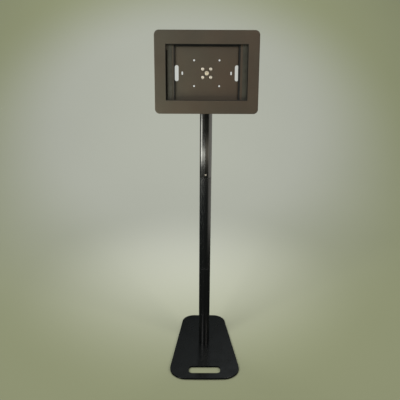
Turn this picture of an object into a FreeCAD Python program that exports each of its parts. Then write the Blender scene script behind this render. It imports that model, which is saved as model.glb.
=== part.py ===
import FreeCAD, Part
import math
import os
import re

import Sketcher
from FreeCAD import Vector

# Tablet floor stand: a tablet enclosure that tilts and turns on a three-piece column over a flat base.
# The origin is the middle of the base plate's outline at floor level, and the front faces -Y.
# Head pieces are drawn in the panel's own frame: X to the right, Y up the panel, Z out of its front,
# from the tilt axis, or for the enclosure's pieces from its middle, level with that axis.
# Lengths are millimetres and angles are degrees.

SIZES = (
    ("plate_depth", 372, "base plate, front to rear"),
    ("plate_front_width", 251, "base plate across its front corners, before rounding"),
    ("plate_rear_width", 152, "base plate across its rear corners, before rounding"),
    ("plate_thickness", 6, "base plate"),
    ("plate_corner", 45, "radius of the base plate's rear corners"),
    ("plate_front_corner", 56, "radius of the base plate's front corners"),
    ("plate_bow", 4, "how far the front edge bows out"),
    ("plate_edge", 1, "round on the plate's top edge"),
    ("hand_slot_width", 107, "hand-hold slot"),
    ("hand_slot_depth", 37, "hand-hold slot"),
    ("hand_slot_corner", 12, "radius of the hand-hold slot's corners"),
    ("hand_slot_margin", 26.5, "front edge to hand-hold slot"),
    ("foot_height", 2, "rubber foot"),
    ("foot_radius", 11, "rubber foot, at the plate"),
    ("foot_taper", 1, "rubber foot, smaller at the floor by"),
    ("foot_inset", 42, "foot's centre from the plate's front or rear edge"),
    ("front_foot_spread", 166, "between the front feet's centres"),
    ("rear_foot_spread", 86, "between the rear feet's centres"),
    ("column_setback", 207.5, "front edge to the column's axis"),
    ("tube_outer", 38, "column tube diameter"),
    ("tube_wall", 1.5, "column tube"),
    ("tube_length", 309, "lower column tube"),
    ("middle_tube_length", 333, "middle column tube"),
    ("upper_tube_length", 294, "upper column tube"),
    ("tube_chamfer", 0.6, "column tube's ends"),
    ("fit_gap", 0.05, "radial clearance of a spigot, pin or shaft"),
    ("coupler_length", 80, "spigot inside a seam"),
    ("coupler_wall", 3, "spigot inside a seam"),
    ("plug_length", 40, "threaded plug in the column's foot"),
    ("plug_chamfer", 1, "plug's and couplers' ends"),
    ("foot_bolt_thread", 10, "bolt from the plate into the plug"),
    ("foot_bolt_head", 19, "its countersunk head"),
    ("foot_bolt_length", 34, "its length over the head"),
    ("foot_bolt_socket", 6, "its socket across flats"),
    ("foot_bolt_seat", 0.2, "countersink wider than its head, each side"),
    ("column_screw_thread", 3, "screw above the upper seam"),
    ("column_screw_head", 6, "its head diameter"),
    ("column_screw_rise", 1.8, "its head height"),
    ("column_screw_height", 12, "upper seam to the screw"),
    ("neck_spigot", 50, "neck inside the upper tube"),
    ("neck_flange", 4, "neck's collar on the tube's end"),
    ("neck_bore", 18, "hollow in the neck's spigot"),
    ("neck_screw_thread", 5, "screws that hold the neck"),
    ("neck_screw_head", 9, "their head diameter"),
    ("neck_screw_rise", 2.6, "their head height"),
    ("neck_screw_drop", 12, "tube's end to the upper neck screw"),
    ("neck_screw_spacing", 22, "between the neck screws"),
    ("neck_screw_end", 10, "column's axis to the neck screws' ends"),
    ("button_share", 0.6, "a button head's round and socket, as a share of its height"),
    ("tilt_rise", 41.2, "tube's end to the tilt axis"),
    ("tongue_width", 16, "neck's tongue along the tilt axis"),
    ("tongue_radius", 14, "neck's tongue round the tilt axis"),
    ("tongue_fillet", 3, "tongue's root on the collar"),
    ("tilt_bolt_thread", 8, "tilt bolt"),
    ("bolt_flats", 13, "hexagon of the tilt bolt and of both nuts, across flats"),
    ("bolt_head", 5.3, "tilt bolt's head height"),
    ("nut_height", 6.5, "nut on the tilt bolt and on the axle bolt"),
    ("bolt_spare", 2, "thread that stands out of a nut"),
    ("washer_radius", 8, "plain and spring washers"),
    ("washer_thickness", 1.6, "plain washer"),
    ("friction_thickness", 1.5, "friction discs"),
    ("swivel_disc_radius", 18, "friction disc behind the swivel disc"),
    ("tilt_disc_radius", 12.5, "friction discs beside the tongue"),
    ("face_gap", 0.1, "between faces that slide on each other"),
    ("ear_thickness", 6, "yoke's ears"),
    ("ear_radius", 13, "yoke's ears round the tilt axis"),
    ("ear_root", 38, "yoke's ears where they meet its plate"),
    ("ear_fillet", 2, "yoke's ears' roots"),
    ("yoke_radius", 29, "yoke's plate and swivel disc"),
    ("yoke_plate", 4, "yoke's plate"),
    ("swivel_thickness", 4, "swivel disc"),
    ("spring_washer", 1.2, "spring washer under the axle nut"),
    ("axle_thread", 8, "bolt that the head turns on"),
    ("axle_head", 12.6, "its head diameter"),
    ("axle_head_height", 4, "its head height"),
    ("axle_head_bevel", 1.6, "bevel on its head"),
    ("axle_socket", 6, "its socket across flats"),
    ("axle_socket_deep", 3, "its socket"),
    ("stop_pin", 4, "pin that ends the turn"),
    ("stop_pin_circle", 23.5, "stop pin from the axle"),
    ("stop_slot_gap", 0.3, "stop pin in its slot, each side"),
    ("stop_clear", 0.4, "stop pin to the slot's end at a limit of the turn"),
    ("turn_range", 90, "landscape to portrait"),
    ("lean", 7, "panel's lean from upright at rest"),
    ("enclosure_rise", 2.8, "axle to the enclosure's middle, up the panel"),
    ("tray_front", 36, "tilt axis to the tray's front face"),
    ("sheet", 1.5, "sheet metal of the tray and bezel"),
    ("bezel_width", 308, "enclosure's front"),
    ("bezel_height", 242, "enclosure's front"),
    ("bezel_depth", 18, "enclosure's front to rear rim"),
    ("bezel_corner", 14, "radius of the enclosure's corners"),
    ("bezel_edge", 2, "bend between the enclosure's front and sides"),
    ("window_side", 32.5, "enclosure's side to the window"),
    ("window_end", 39.5, "enclosure's top or bottom to the window"),
    ("tray_flange", 13, "tray's flanges over its front face"),
    ("tray_bend", 1.2, "bend between the tray's rear face and flanges"),
    ("tray_side_gap", 1.3, "bezel's sides to the tray's sides"),
    ("tray_end_gap", 0.5, "bezel's top and bottom to the tray's"),
    ("mount_square", 75, "square of mounting holes"),
    ("mount_hole", 5.5, "mounting hole"),
    ("tray_screw_square", 24, "square of the four tray screws"),
    ("tray_screw_thread", 5, "tray screw"),
    ("tray_screw_head", 9.5, "tray screw's head"),
    ("tray_screw_rise", 2.4, "tray screw's head height"),
    ("tray_screw_socket", 3, "tray screw's socket across flats"),
    ("axle_opening", 14, "tray's centre hole"),
    ("tie_slot_width", 4.5, "small oblong slot"),
    ("tie_slot_height", 10, "small oblong slot"),
    ("tie_slot_inset", 16.5, "cable slot's middle to the small slot's"),
    ("cable_slot_width", 11, "long cable slot"),
    ("cable_slot_height", 46.5, "long cable slot"),
    ("cable_slot_inset", 5.8, "left rail to the cable slot's middle"),
    ("rail_sheet", 1.2, "sheet metal of the rails and ledges"),
    ("rail_overlap", 4.5, "side rails' ends beyond the window"),
    ("rail_rise", 5, "side rails' shelves over the tray"),
    ("rail_shelf", 24, "side rails' shelves"),
    ("left_rail_cover", 26.7, "window's side to the left rail's inner side"),
    ("right_rail_cover", 23.5, "window's side to the right rail's inner side"),
    ("rail_foot_margin", 15.2, "tray's side to the rail's foot"),
    ("rail_bend", 1.2, "rails' bends"),
    ("pad_thickness", 1.5, "soft pads on the rails"),
    ("pad_margin", 1.8, "pad's edge from the shelf's outer and end edges"),
    ("pad_inner_margin", 7.5, "pad's edge from the shelf's inner edge"),
    ("tablet_side_cover", 3.5, "tablet's short edge behind the bezel"),
    ("tablet_end_cover", 5.5, "tablet's long edge behind the bezel"),
    ("tablet_gap", 1, "tablet to each stop"),
    ("stop_length", 20, "side stop standing on a rail's foot"),
    ("stop_spread", 84, "between a rail's two side stops"),
    ("tab_height", 21, "small tab at the left rail's upper end"),
    ("tab_reach", 4.2, "small tab, out from the shelf"),
    ("tab_drop", 2, "small tab's upper end below the rail's end"),
    ("ledge_inset", 31.5, "window's side to the ledge's end"),
    ("ledge_foot", 13, "ledges' feet on the tray"),
    ("rivet_shank", 3, "rivet"),
    ("rivet_head", 6, "rivet's head"),
    ("rivet_rise", 1, "rivet's head height"),
    ("rivet_round", 0.7, "round on the rivet's head"),
    ("rivet_tail", 4.5, "rivet's rear end"),
    ("rivet_tail_rise", 0.6, "rivet's rear end's height"),
    ("rail_rivet_end", 21, "rail's end to its rivet"),
    ("rail_rivet_margin", 4, "rail's foot's edge to its rivets"),
    ("ledge_rivet_end", 20, "ledge's end to its rivet"),
    ("hinge_axis_in", 4, "bezel's left side to the hinge's axis"),
    ("hinge_axis_back", 2.5, "tray's rear face to the hinge's axis"),
    ("hinge_leaf", 1, "hinge's leaves and knuckles' wall"),
    ("hinge_pin", 2.8, "hinge pin"),
    ("hinge_length", 180, "hinge"),
    ("hinge_knuckles", 5, "knuckles, an odd number"),
    ("hinge_knuckle_gap", 0.4, "between knuckles"),
    ("tray_leaf_width", 15, "hinge's leaf on the tray"),
    ("bezel_leaf_width", 13, "hinge's leaf inside the bezel's side"),
    ("hinge_rivet_spread", 140, "between the outer hinge rivets"),
    ("hinge_rivet_margin", 8, "hinge's axis to its rivets"),
    ("lock_inset", 13.5, "bezel's inner side to the lock's axis"),
    ("lock_outer", 12, "lock's threaded barrel"),
    ("lock_flange", 16, "lock's flange behind the tray"),
    ("lock_flange_height", 2, "lock's flange"),
    ("lock_front", 8.5, "barrel's end over the tray's front face"),
    ("lock_core", 8, "lock's turning core"),
    ("lock_nut_flats", 17, "lock's nut across flats"),
    ("lock_nut_height", 3, "lock's nut"),
    ("nut_notch", 11, "lock's axis to the edges of the rail's notch"),
    ("lock_flange_bevel", 0.5, "lock's flange"),
    ("key_slot_width", 1.2, "key slot"),
    ("key_slot_height", 5, "key slot"),
    ("key_slot_deep", 6, "key slot"),
    ("cam_thickness", 2, "cam"),
    ("cam_width", 10, "cam"),
    ("cam_corner", 3, "radius of the cam's corners"),
    ("cam_reach", 10.8, "lock's axis to the cam's tip"),
    ("cam_gap", 0.6, "cam to what it passes over"),
    ("cam_screw_thread", 4, "screw that holds the cam"),
    ("cam_screw_head", 7, "its head diameter"),
    ("cam_screw_rise", 2.2, "its head height"),
    ("cam_screw_length", 8, "its length in the core"),
    ("catch_sheet", 2, "catch on the bezel's right side"),
    ("catch_length", 20, "catch"),
    ("catch_reach", 7, "bezel's side to the catch's lip"),
    ("catch_notch_gap", 4, "tray's notch round the catch, each side"),
    ("gasket_thickness", 1, "soft gasket behind the window's edge"),
    ("gasket_setback", -1.5, "window's edge to the gasket, less than nothing where it shows"),
    ("gasket_width", 8, "gasket"),
)

DERIVED = (
    ("column_across", "column_setback - plate_depth / 2", "column's axis in Y"),
    ("plate_top", "foot_height + plate_thickness", "plate's upper face"),
    ("lower_seam", "plate_top + tube_length", "lower seam"),
    ("upper_seam", "lower_seam + middle_tube_length", "upper seam"),
    ("tube_end", "upper_seam + upper_tube_length", "upper tube's end"),
    ("tilt_height", "tube_end + tilt_rise", "tilt axis over the floor"),
    ("tube_bore", "tube_outer / 2 - tube_wall", "tube's inner radius"),
    ("spigot_radius", "tube_bore - fit_gap", "what fits in a tube"),
    ("tilt_disc_start", "tongue_width / 2 + face_gap", "friction disc's inner face"),
    ("ear_inner", "tilt_disc_start + friction_thickness", "ear's inner face"),
    ("ear_outer", "ear_inner + ear_thickness", "ear's outer face"),
    ("tray_back", "tray_front - sheet", "tray's rear face"),
    ("swivel_back", "tray_back - swivel_thickness", "swivel disc's rear face"),
    ("yoke_front", "swivel_back - face_gap - friction_thickness", "yoke plate's front face"),
    ("yoke_back", "yoke_front - yoke_plate", "yoke plate's rear face"),
    ("axle_nut_front", "yoke_back - spring_washer", "axle nut's front face"),
    ("bezel_front", "tray_back + bezel_depth", "bezel's front face"),
    ("bezel_inner", "bezel_front - sheet", "bezel's inner face"),
    ("bezel_side", "bezel_width / 2 - sheet", "bezel's inner side face"),
    ("bezel_end", "bezel_height / 2 - sheet", "bezel's inner top and bottom face"),
    ("tray_side", "bezel_side - tray_side_gap", "tray's outer side face"),
    ("tray_end", "bezel_end - tray_end_gap", "tray's outer top and bottom face"),
    ("window_width", "bezel_width - 2 * window_side", "window"),
    ("window_height", "bezel_height - 2 * window_end", "window"),
    ("tablet_width", "window_width + 2 * tablet_side_cover", "largest tablet that fits"),
    ("tablet_height", "window_height + 2 * tablet_end_cover", "largest tablet that fits"),
    ("rail_length", "window_height + 2 * rail_overlap", "side rails, along the panel's height"),
    ("left_rail_inner", "window_width / 2 - left_rail_cover", "left rail from the middle"),
    ("right_rail_inner", "window_width / 2 - right_rail_cover", "right rail from the middle"),
    ("cable_slot_spread", "2 * (left_rail_inner - cable_slot_inset)", "between the cable slots"),
    ("tie_slot_spread", "cable_slot_spread - 2 * tie_slot_inset", "between the small slots"),
    ("rail_foot", "tray_side - rail_foot_margin", "rails' feet's outer edges"),
    ("rail_rivet_line", "rail_foot - rail_rivet_margin", "rails' rivets from the middle"),
    ("rail_rivet_spread", "rail_length - 2 * rail_rivet_end", "between a rail's rivets"),
    ("ledge_length", "window_width - 2 * ledge_inset", "top and bottom ledges"),
    ("ledge_rivet_spread", "ledge_length - 2 * ledge_rivet_end", "between a ledge's rivets"),
    ("lock_across", "bezel_side - lock_inset", "lock's axis from the middle"),
    ("rail_top", "tray_front + rail_rise", "rails' shelves"),
    ("stop_side", "tablet_width / 2 + tablet_gap", "side stops' inner face"),
    ("stop_end", "tablet_height / 2 + tablet_gap", "ledges' inner face"),
    ("stop_top", "tray_front + tray_flange", "stops' and ledges' height"),
    ("hinge_across", "bezel_width / 2 - hinge_axis_in", "hinge's axis from the middle"),
    ("hinge_rivet_line", "hinge_across - hinge_rivet_margin", "hinge's rivets from the middle"),
    ("hinge_level", "tray_back - hinge_axis_back", "hinge's axis"),
    ("hinge_radius", "hinge_pin / 2 + fit_gap + hinge_leaf", "knuckles"),
    ("lock_back", "tray_back - lock_flange_height", "lock flange's rear face"),
    ("barrel_end", "tray_front + lock_front", "barrel's front end"),
    ("cam_back", "barrel_end + face_gap", "cam's rear face"),
    ("cam_front", "cam_back + cam_thickness", "cam's front face"),
)

NAMES = {row[0] for row in SIZES + DERIVED}

doc = FreeCAD.newDocument("TabletFloorStand")
sheet = doc.addObject("Spreadsheet::Sheet", "Sizes")


def formula(text):
    """Write each size's name in a formula as the sheet's own cell."""
    return re.sub(r"[a-z_]+", lambda word: "Sizes." + word[0] if word[0] in NAMES else word[0], text)


def fill_sheet():
    for row, (alias, value, note) in enumerate(SIZES, start=1):
        sheet.set(f"A{row}", note)
        sheet.set(f"B{row}", str(value))
        sheet.setAlias(f"B{row}", alias)
    for row, (alias, text, note) in enumerate(DERIVED, start=len(SIZES) + 1):
        sheet.set(f"A{row}", note)
        sheet.set(f"B{row}", "=" + text)
        sheet.setAlias(f"B{row}", alias)
    doc.recompute()


def size(text):
    """The number that a formula of sizes has now."""
    return float(sheet.evalExpression(formula(text)))


fill_sheet()

PANEL = "placement(vector(0; {across}; {height}); rotation(vector(1; 0; 0); 90 - {lean}))".format(
    across=formula("column_across"), height=formula("tilt_height"), lean=formula("lean"))
ENCLOSURE = "placement(vector(0; {across}; {height}); rotation(vector(1; 0; 0); 90 - {lean}))".format(
    across=formula("column_across + enclosure_rise * sin(lean * 1 deg)"),
    height=formula("tilt_height + enclosure_rise * cos(lean * 1 deg)"), lean=formula("lean"))
COLUMN = "placement(vector(0; {across}; 0); rotation(vector(0; 0; 1); 0))".format(
    across=formula("column_across"))
TILT_AXIS = "placement(vector(0; {across}; {height}); rotation(vector(0; 1; 0); 90))".format(
    across=formula("column_across"), height=formula("tilt_height"))


# Drawing helpers

def new_body(label, place=None):
    body = doc.addObject("PartDesign::Body", label)
    body.Label = label
    body.AllowCompound = True
    if place:
        body.setExpression("Placement", place)
    return body


def new_sketch(body, role, offset="0"):
    """A sketch on one of the body's own planes, moved along the plane's normal."""
    plane = next(item for item in body.Origin.OriginFeatures if item.Role == role)
    sketch = body.newObject("Sketcher::SketchObject", "Sketch")
    sketch.AttachmentSupport = [(plane, "")]
    sketch.MapMode = "FlatFace"
    sketch.setExpression(".AttachmentOffset.Base.z", formula(offset))
    return sketch


def constrain(sketch, text, *parts):
    index = sketch.addConstraint(Sketcher.Constraint(*parts, size(text)))
    sketch.setExpression(f"Constraints[{index}]", formula(text))


def hold(sketch, curve, point, across, up):
    """Hold a curve's end or centre at two formulas from the sketch's origin."""
    constrain(sketch, across, "DistanceX", -1, 1, curve, point)
    constrain(sketch, up, "DistanceY", -1, 1, curve, point)


def outline(sketch, corners):
    """Straight edges round a list of corners."""
    first = sketch.GeometryCount
    count = len(corners)
    points = [Vector(size(across), size(up), 0) for across, up in corners]
    for start, end in zip(points, points[1:] + points[:1]):
        sketch.addGeometry(Part.LineSegment(start, end))
    for step, (across, up) in enumerate(corners):
        before = first + (step - 1) % count
        sketch.addConstraint(Sketcher.Constraint("Coincident", before, 2, first + step, 1))
        hold(sketch, first + step, 1, across, up)


def rectangle(sketch, left, right, low, high):
    outline(sketch, [(left, low), (right, low), (right, high), (left, high)])


def circle(sketch, across, up, diameter):
    centre = Vector(size(across), size(up), 0)
    curve = sketch.addGeometry(Part.Circle(centre, Vector(0, 0, 1), size(diameter) / 2))
    hold(sketch, curve, 3, across, up)
    constrain(sketch, diameter, "Diameter", curve)


def hexagon(sketch, across, up, flats):
    half_corner = f"({flats}) / sqrt(3)"
    corners = []
    for side, rise in ((1, 0), (0.5, 0.5), (-0.5, 0.5), (-1, 0), (-0.5, -0.5), (0.5, -0.5)):
        corners.append((f"{across} + {side} * {half_corner}", f"{up} + {rise} * ({flats})"))
    outline(sketch, corners)


def arc(sketch, centre, radius, start, end):
    curve = Part.ArcOfCircle(Part.Circle(centre, Vector(0, 0, 1), radius), start, end)
    return sketch.addGeometry(curve)


def join_smoothly(sketch, *ends):
    """Join pairs of curve ends so that each pair is tangent."""
    for first, first_end, second, second_end in ends:
        sketch.addConstraint(
            Sketcher.Constraint("Tangent", first, first_end, second, second_end))


def rounded_rectangle(sketch, half_width, half_height, radius):
    """A rectangle about the sketch's origin with round corners."""
    wide = size(half_width)
    high = size(half_height)
    bend = size(radius)
    quarter = math.pi / 2
    arcs = []
    for turn, (side, rise) in enumerate(((1, 1), (-1, 1), (-1, -1), (1, -1))):
        centre = Vector(side * (wide - bend), rise * (high - bend), 0)
        curve = arc(sketch, centre, bend, turn * quarter, (turn + 1) * quarter)
        hold(sketch, curve, 3, f"{side} * ({half_width} - ({radius}))",
             f"{rise} * ({half_height} - ({radius}))")
        constrain(sketch, radius, "Radius", curve)
        arcs.append(curve)
    for turn in range(4):
        before = arcs[turn]
        after = arcs[(turn + 1) % 4]
        start = sketch.Geometry[before].EndPoint
        end = sketch.Geometry[after].StartPoint
        line = sketch.addGeometry(Part.LineSegment(start, end))
        join_smoothly(sketch, (before, 2, line, 1), (line, 2, after, 1))


def upright_slot(sketch, across, up, width, height):
    """An oblong slot with round ends about a point."""
    middle = size(across)
    level = size(up)
    radius = size(width) / 2
    reach = size(height) / 2 - radius
    upper = arc(sketch, Vector(middle, level + reach, 0), radius, 0, math.pi)
    lower = arc(sketch, Vector(middle, level - reach, 0), radius, math.pi, 2 * math.pi)
    for curve, side in ((upper, 1), (lower, -1)):
        hold(sketch, curve, 3, across, f"{up} + {side} * ({height} - {width}) / 2")
        constrain(sketch, f"{width} / 2", "Radius", curve)
    for start_curve, end_curve in ((upper, lower), (lower, upper)):
        start = sketch.Geometry[start_curve].EndPoint
        end = sketch.Geometry[end_curve].StartPoint
        line = sketch.addGeometry(Part.LineSegment(start, end))
        join_smoothly(sketch, (start_curve, 2, line, 1), (line, 2, end_curve, 1))


# Features on a body

def pad(body, sketch, length, both_ways=False, downward=False):
    feature = body.newObject("PartDesign::Pad", "Pad")
    feature.Profile = sketch
    feature.setExpression("Length", formula(length))
    if both_ways:
        feature.SideType = "Symmetric"
    feature.Reversed = downward
    return feature


def pocket(body, sketch, length=None, forward=False):
    """Cut against the sketch's normal, or along it when forward, through all with no length."""
    feature = body.newObject("PartDesign::Pocket", "Pocket")
    feature.Profile = sketch
    if length is None:
        feature.Type = "ThroughAll"
    else:
        feature.setExpression("Length", formula(length))
    feature.Reversed = forward
    return feature


def turned(label, place, profile):
    """A turned piece: a profile of radius and height, revolved about Z."""
    body = new_body(label, place)
    sketch = new_sketch(body, "XZ_Plane")
    outline(sketch, profile)
    feature = body.newObject("PartDesign::Revolution", "Revolution")
    feature.Profile = sketch
    feature.ReferenceAxis = (sketch, ["V_Axis"])
    feature.Angle = 360
    return body


def edges_where(feature, test):
    doc.recompute()
    return [f"Edge{number}" for number, edge in enumerate(feature.Shape.Edges, 1) if test(edge)]


def fillet(body, feature, radius, test):
    rounding = body.newObject("PartDesign::Fillet", "Fillet")
    rounding.Base = (feature, edges_where(feature, test))
    rounding.setExpression("Radius", formula(radius))
    body.Tip = rounding
    return rounding


def chamfer(body, feature, length, test):
    bevel = body.newObject("PartDesign::Chamfer", "Chamfer")
    bevel.Base = (feature, edges_where(feature, test))
    bevel.setExpression("Size", formula(length))
    body.Tip = bevel
    return bevel


def near(value, text):
    return abs(value - size(text)) < 0.001


def lies_at(edge, height):
    """Whether an edge lies flat at a height in its body's own frame."""
    box = edge.BoundBox
    return near(box.ZMin, height) and near(box.ZMax, height)


def stands(edge):
    """Whether an edge runs straight along Z."""
    box = edge.BoundBox
    return box.ZLength > 0.01 and box.XLength < 0.001 and box.YLength < 0.001


def has_radius(edge, text):
    return hasattr(edge.Curve, "Radius") and near(edge.Curve.Radius, text)


# Stand

def make_base_plate():
    body = new_body("base_plate")
    sketch = new_sketch(body, "XY_Plane", "foot_height")
    rear = ("plate_rear_width / 2", "plate_depth / 2")
    front = ("plate_front_width / 2", "plate_bow - plate_depth / 2")
    right_rear = Vector(size(rear[0]), size(rear[1]), 0)
    right_front = Vector(size(front[0]), size(front[1]), 0)
    left_front = Vector(-right_front.x, right_front.y, 0)
    left_rear = Vector(-right_rear.x, right_rear.y, 0)
    front_middle = Vector(0, -size("plate_depth") / 2, 0)
    lines = [
        sketch.addGeometry(Part.LineSegment(right_rear, left_rear)),
        sketch.addGeometry(Part.LineSegment(left_rear, left_front)),
        sketch.addGeometry(Part.LineSegment(right_front, right_rear)),
    ]
    bow = sketch.addGeometry(Part.Arc(left_front, front_middle, right_front))
    sketch.addConstraint(Sketcher.Constraint("Coincident", lines[0], 2, lines[1], 1))
    sketch.addConstraint(Sketcher.Constraint("Coincident", lines[1], 2, bow, 1))
    sketch.addConstraint(Sketcher.Constraint("Coincident", bow, 2, lines[2], 1))
    sketch.addConstraint(Sketcher.Constraint("Coincident", lines[2], 2, lines[0], 1))
    hold(sketch, lines[0], 1, *rear)
    hold(sketch, lines[0], 2, "-" + rear[0], rear[1])
    hold(sketch, lines[1], 2, "-" + front[0], front[1])
    hold(sketch, lines[2], 1, *front)
    constrain(sketch, "(plate_front_width ^ 2 / 4 + plate_bow ^ 2) / (2 * plate_bow)", "Radius", bow)
    slab = pad(body, sketch, "plate_thickness")
    slab = fillet(body, slab, "plate_corner", lambda edge: stands(edge) and edge.BoundBox.YMin > 0)
    slab = fillet(body, slab, "plate_front_corner",
                  lambda edge: stands(edge) and near(edge.BoundBox.YMin, front[1]))
    slab = fillet(body, slab, "plate_edge", lambda edge: lies_at(edge, "plate_top"))

    hole_sketch = new_sketch(body, "XY_Plane", "plate_top")
    rectangle(hole_sketch, "-hand_slot_width / 2", "hand_slot_width / 2",
              "hand_slot_margin - plate_depth / 2",
              "hand_slot_margin + hand_slot_depth - plate_depth / 2")
    circle(hole_sketch, "0", "column_across", "foot_bolt_thread + 2 * fit_gap")
    holes = pocket(body, hole_sketch)

    def slot_corner(edge):
        middle = edge.BoundBox.Center
        return stands(edge) and near(abs(middle.x), "hand_slot_width / 2")

    def bolt_hole_below(edge):
        return lies_at(edge, "foot_height") and has_radius(edge, "foot_bolt_thread / 2 + fit_gap")

    holes = fillet(body, holes, "hand_slot_corner", slot_corner)
    chamfer(body, holes, "(foot_bolt_head - foot_bolt_thread) / 2 + foot_bolt_seat",
            bolt_hole_below)


def make_rubber_feet():
    body = new_body("rubber_feet")
    places = []
    for side in (-1, 1):
        places.append((f"{side} * front_foot_spread / 2", "foot_inset - plate_depth / 2"))
        places.append((f"{side} * rear_foot_spread / 2", "plate_depth / 2 - foot_inset"))
    sketch = new_sketch(body, "XY_Plane")
    for across, along in places:
        circle(sketch, across, along, "2 * foot_radius")
    discs = pad(body, sketch, "foot_height")
    chamfer(body, discs, "foot_taper", lambda edge: lies_at(edge, "0"))


def make_tube(label, low, high):
    inner = "tube_bore"
    outer = "tube_outer / 2"
    return turned(label, COLUMN, [
        (inner, low),
        (f"{outer} - tube_chamfer", low),
        (outer, f"{low} + tube_chamfer"),
        (outer, f"{high} - tube_chamfer"),
        (f"{outer} - tube_chamfer", high),
        (inner, high),
    ])


def radial_hole(body, heights, diameter, at_front):
    """Holes through one side of a column piece, towards the front or the rear."""
    sketch = new_sketch(body, "XZ_Plane")
    for height in heights:
        circle(sketch, "0", height, diameter)
    pocket(body, sketch, "tube_outer", forward=at_front)


COLUMN_SCREW_LEVEL = "upper_seam + column_screw_height"
NECK_SCREW_LEVELS = ("tube_end - neck_screw_drop", "tube_end - neck_screw_drop - neck_screw_spacing")


def make_tubes():
    make_tube("column_lower", "plate_top", "lower_seam")
    make_tube("column_middle", "lower_seam", "upper_seam")
    upper = make_tube("column_upper", "upper_seam", "tube_end")
    radial_hole(upper, [COLUMN_SCREW_LEVEL], "column_screw_thread + 2 * fit_gap", at_front=True)
    radial_hole(upper, NECK_SCREW_LEVELS, "neck_screw_thread + 2 * fit_gap", at_front=False)


def sleeve(label, low, length, bore):
    """A round spigot that fits inside the tubes, with bevelled ends."""
    high = f"({low} + {length})"
    return turned(label, COLUMN, [
        (bore, low),
        ("spigot_radius - plug_chamfer", low),
        ("spigot_radius", f"{low} + plug_chamfer"),
        ("spigot_radius", f"{high} - plug_chamfer"),
        ("spigot_radius - plug_chamfer", high),
        (bore, high),
    ])


def make_column_inside():
    sleeve("foot_plug", "plate_top", "plug_length", "foot_bolt_thread / 2")
    coupler_bore = "spigot_radius - coupler_wall"
    sleeve("coupler_lower", "(lower_seam - coupler_length / 2)", "coupler_length", coupler_bore)
    upper = sleeve("coupler_upper", "(upper_seam - coupler_length / 2)", "coupler_length",
                   coupler_bore)
    radial_hole(upper, [COLUMN_SCREW_LEVEL], "column_screw_thread", at_front=True)


def make_foot_bolt():
    shank = "foot_bolt_thread / 2"
    head = "foot_bolt_head / 2"
    body = turned("foot_bolt", COLUMN, [
        ("0", "foot_height"),
        (head, "foot_height"),
        (shank, f"foot_height + {head} - {shank}"),
        (shank, "foot_height + foot_bolt_length - plug_chamfer"),
        (f"{shank} - plug_chamfer", "foot_height + foot_bolt_length"),
        ("0", "foot_height + foot_bolt_length"),
    ])
    sketch = new_sketch(body, "XY_Plane", "foot_height")
    hexagon(sketch, "0", "0", "foot_bolt_socket")
    pocket(body, sketch, "foot_bolt_thread / 2", forward=True)


def radial_screws(label, heights, thread, head, rise, inner_reach, at_front):
    """Button-head screws through one side of the upper tube."""
    body = new_body(label, COLUMN)
    seat = "tube_outer / 2"
    shank_sketch = new_sketch(body, "XZ_Plane", inner_reach if at_front else f"-({inner_reach})")
    for height in heights:
        circle(shank_sketch, "0", height, thread)
    pad(body, shank_sketch, f"{seat} - ({inner_reach})", downward=not at_front)
    head_sketch = new_sketch(body, "XZ_Plane", seat if at_front else f"-{seat}")
    for height in heights:
        circle(head_sketch, "0", height, head)
    heads = pad(body, head_sketch, rise, downward=not at_front)
    outer_face = f"{seat} + {rise}"

    def outer_rim(edge):
        return has_radius(edge, f"{head} / 2") and near(abs(edge.BoundBox.Center.y), outer_face)

    fillet(body, heads, f"{rise} * button_share", outer_rim)
    socket_sketch = new_sketch(body, "XZ_Plane", outer_face if at_front else f"-({outer_face})")
    for height in heights:
        hexagon(socket_sketch, "0", height, f"{thread} / 2")
    pocket(body, socket_sketch, f"{rise} * button_share", forward=not at_front)


def make_column_screws():
    radial_screws("column_screw", [COLUMN_SCREW_LEVEL], "column_screw_thread",
                  "column_screw_head", "column_screw_rise", "spigot_radius - coupler_wall", True)
    radial_screws("neck_screws", NECK_SCREW_LEVELS, "neck_screw_thread", "neck_screw_head",
                  "neck_screw_rise", "neck_screw_end", False)


def make_neck():
    collar_top = "(tube_end + neck_flange)"
    collar = "tube_outer / 2"
    body = turned("neck", COLUMN, [
        ("neck_bore / 2", "tube_end - neck_spigot"),
        ("spigot_radius - plug_chamfer", "tube_end - neck_spigot"),
        ("spigot_radius", "tube_end - neck_spigot + plug_chamfer"),
        ("spigot_radius", "tube_end"),
        (collar, "tube_end"),
        (collar, f"{collar_top} - plug_chamfer"),
        (f"{collar} - plug_chamfer", collar_top),
        ("0", collar_top),
        ("0", "tube_end - neck_flange"),
        ("neck_bore / 2", "tube_end - neck_bore / 2"),
    ])
    tongue_sketch = new_sketch(body, "YZ_Plane")
    rectangle(tongue_sketch, "-tongue_radius", "tongue_radius", collar_top, "tilt_height")
    tongue = pad(body, tongue_sketch, "tongue_width", both_ways=True)

    def tongue_root(edge):
        return lies_at(edge, collar_top) and near(edge.BoundBox.XLength, "0")

    fillet(body, tongue, "tongue_fillet", tongue_root)
    round_sketch = new_sketch(body, "YZ_Plane")
    circle(round_sketch, "0", "tilt_height", "2 * tongue_radius")
    pad(body, round_sketch, "tongue_width", both_ways=True)
    bore_sketch = new_sketch(body, "YZ_Plane", "tongue_width / 2")
    circle(bore_sketch, "0", "tilt_height", "tilt_bolt_thread + 2 * fit_gap")
    pocket(body, bore_sketch)
    radial_hole(body, NECK_SCREW_LEVELS, "neck_screw_thread", at_front=False)


# Tilting group

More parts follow.
